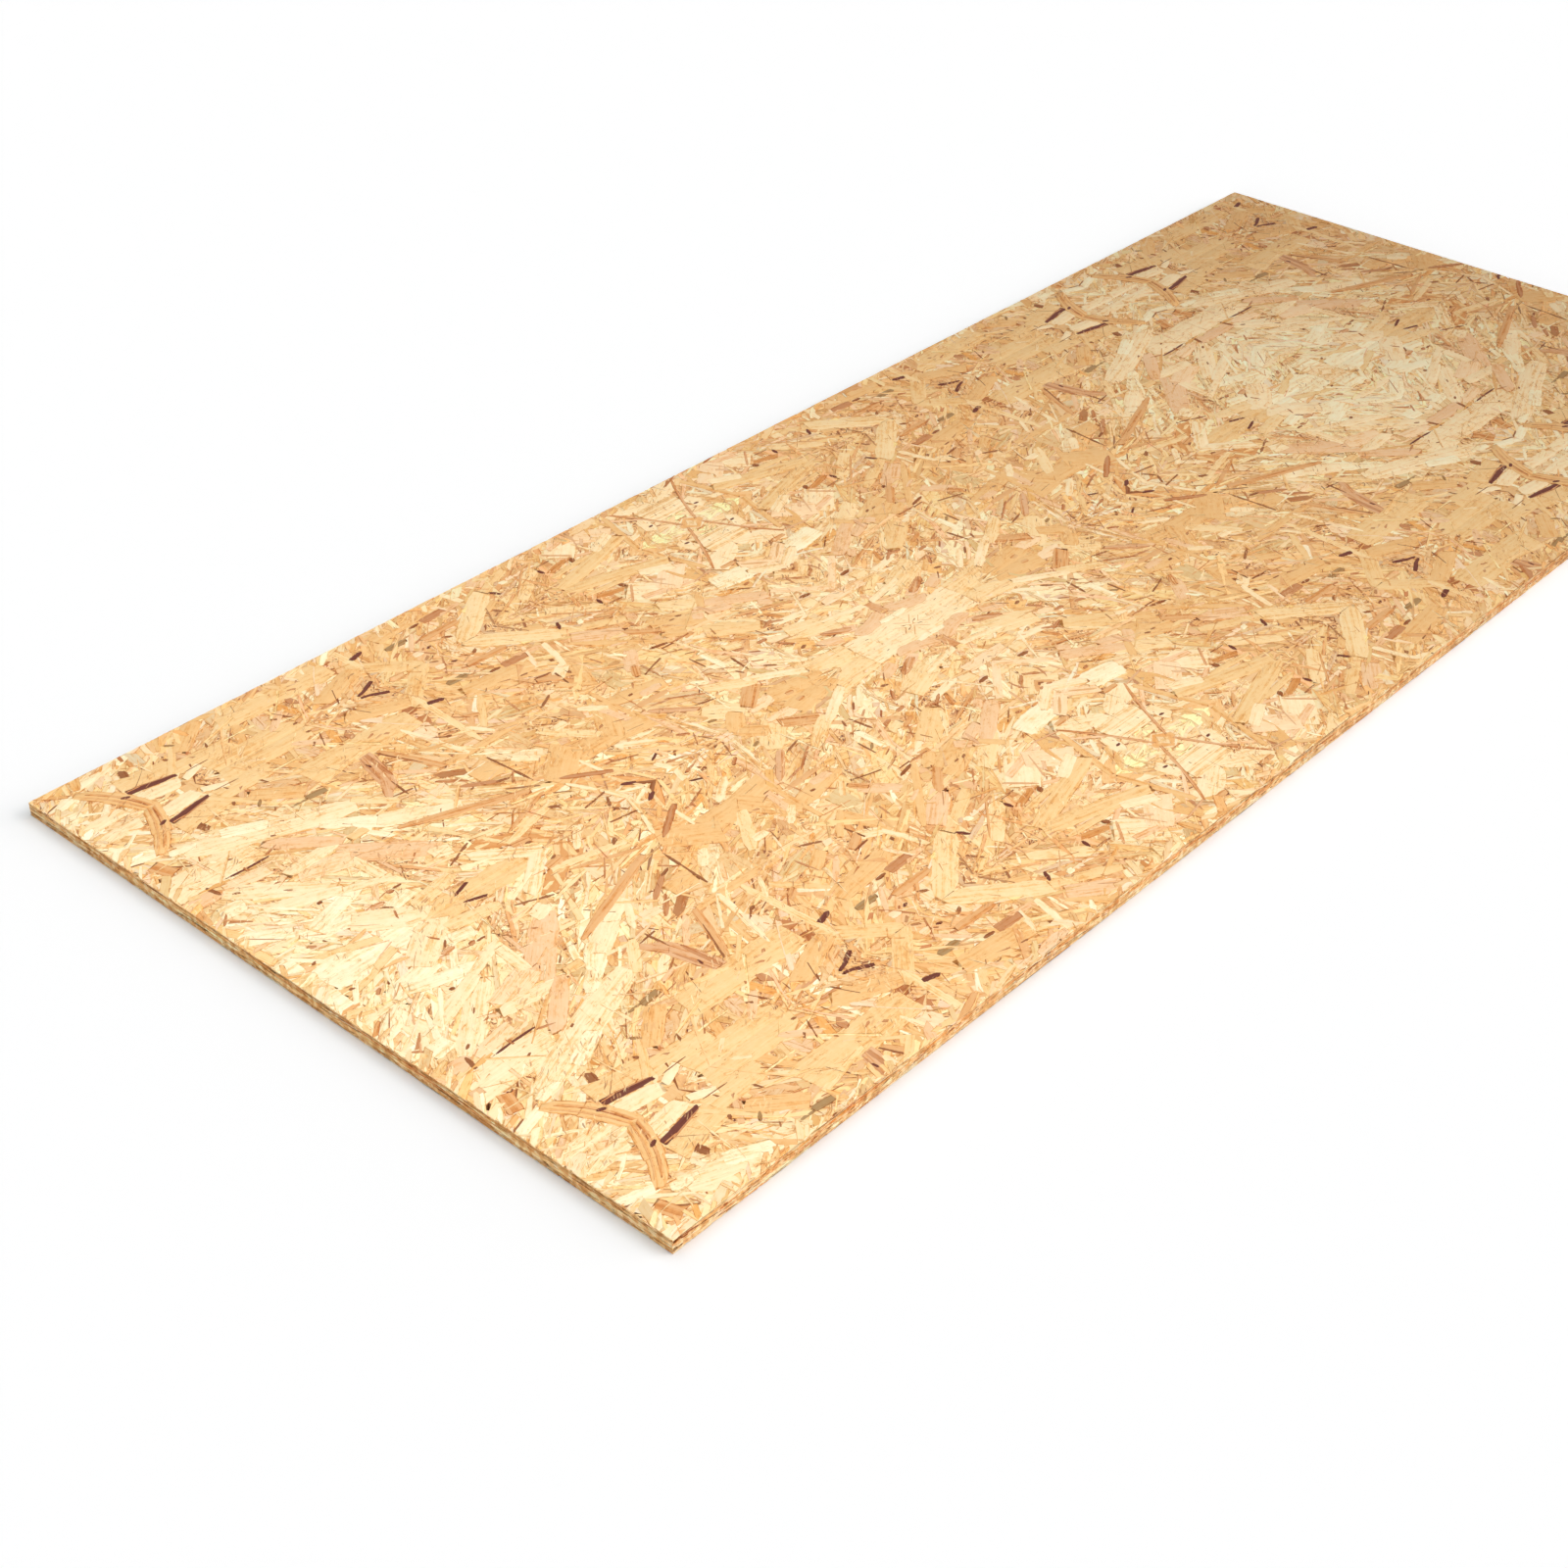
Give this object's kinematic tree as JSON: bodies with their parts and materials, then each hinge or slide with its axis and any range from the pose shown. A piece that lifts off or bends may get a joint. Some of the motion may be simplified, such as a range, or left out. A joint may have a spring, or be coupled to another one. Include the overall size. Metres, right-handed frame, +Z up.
{
  "type": "oriented strand board panel",
  "caption": "Flat rectangular sheet of pressed wood strands with square sawn edges.",
  "frame": {"origin": "middle of the lower face", "axes": "+X along the length, +Y along the width, +Z up through the thickness"},
  "size_m": [3, 1.25, 0.022],
  "materials": {
    "pressed_strands": "raw pressed softwood strands bonded with resin, matt with a faint sheen"
  },
  "bodies": {
    "root": {"osb_panel": "pressed_strands"}
  },
  "joints": []
}
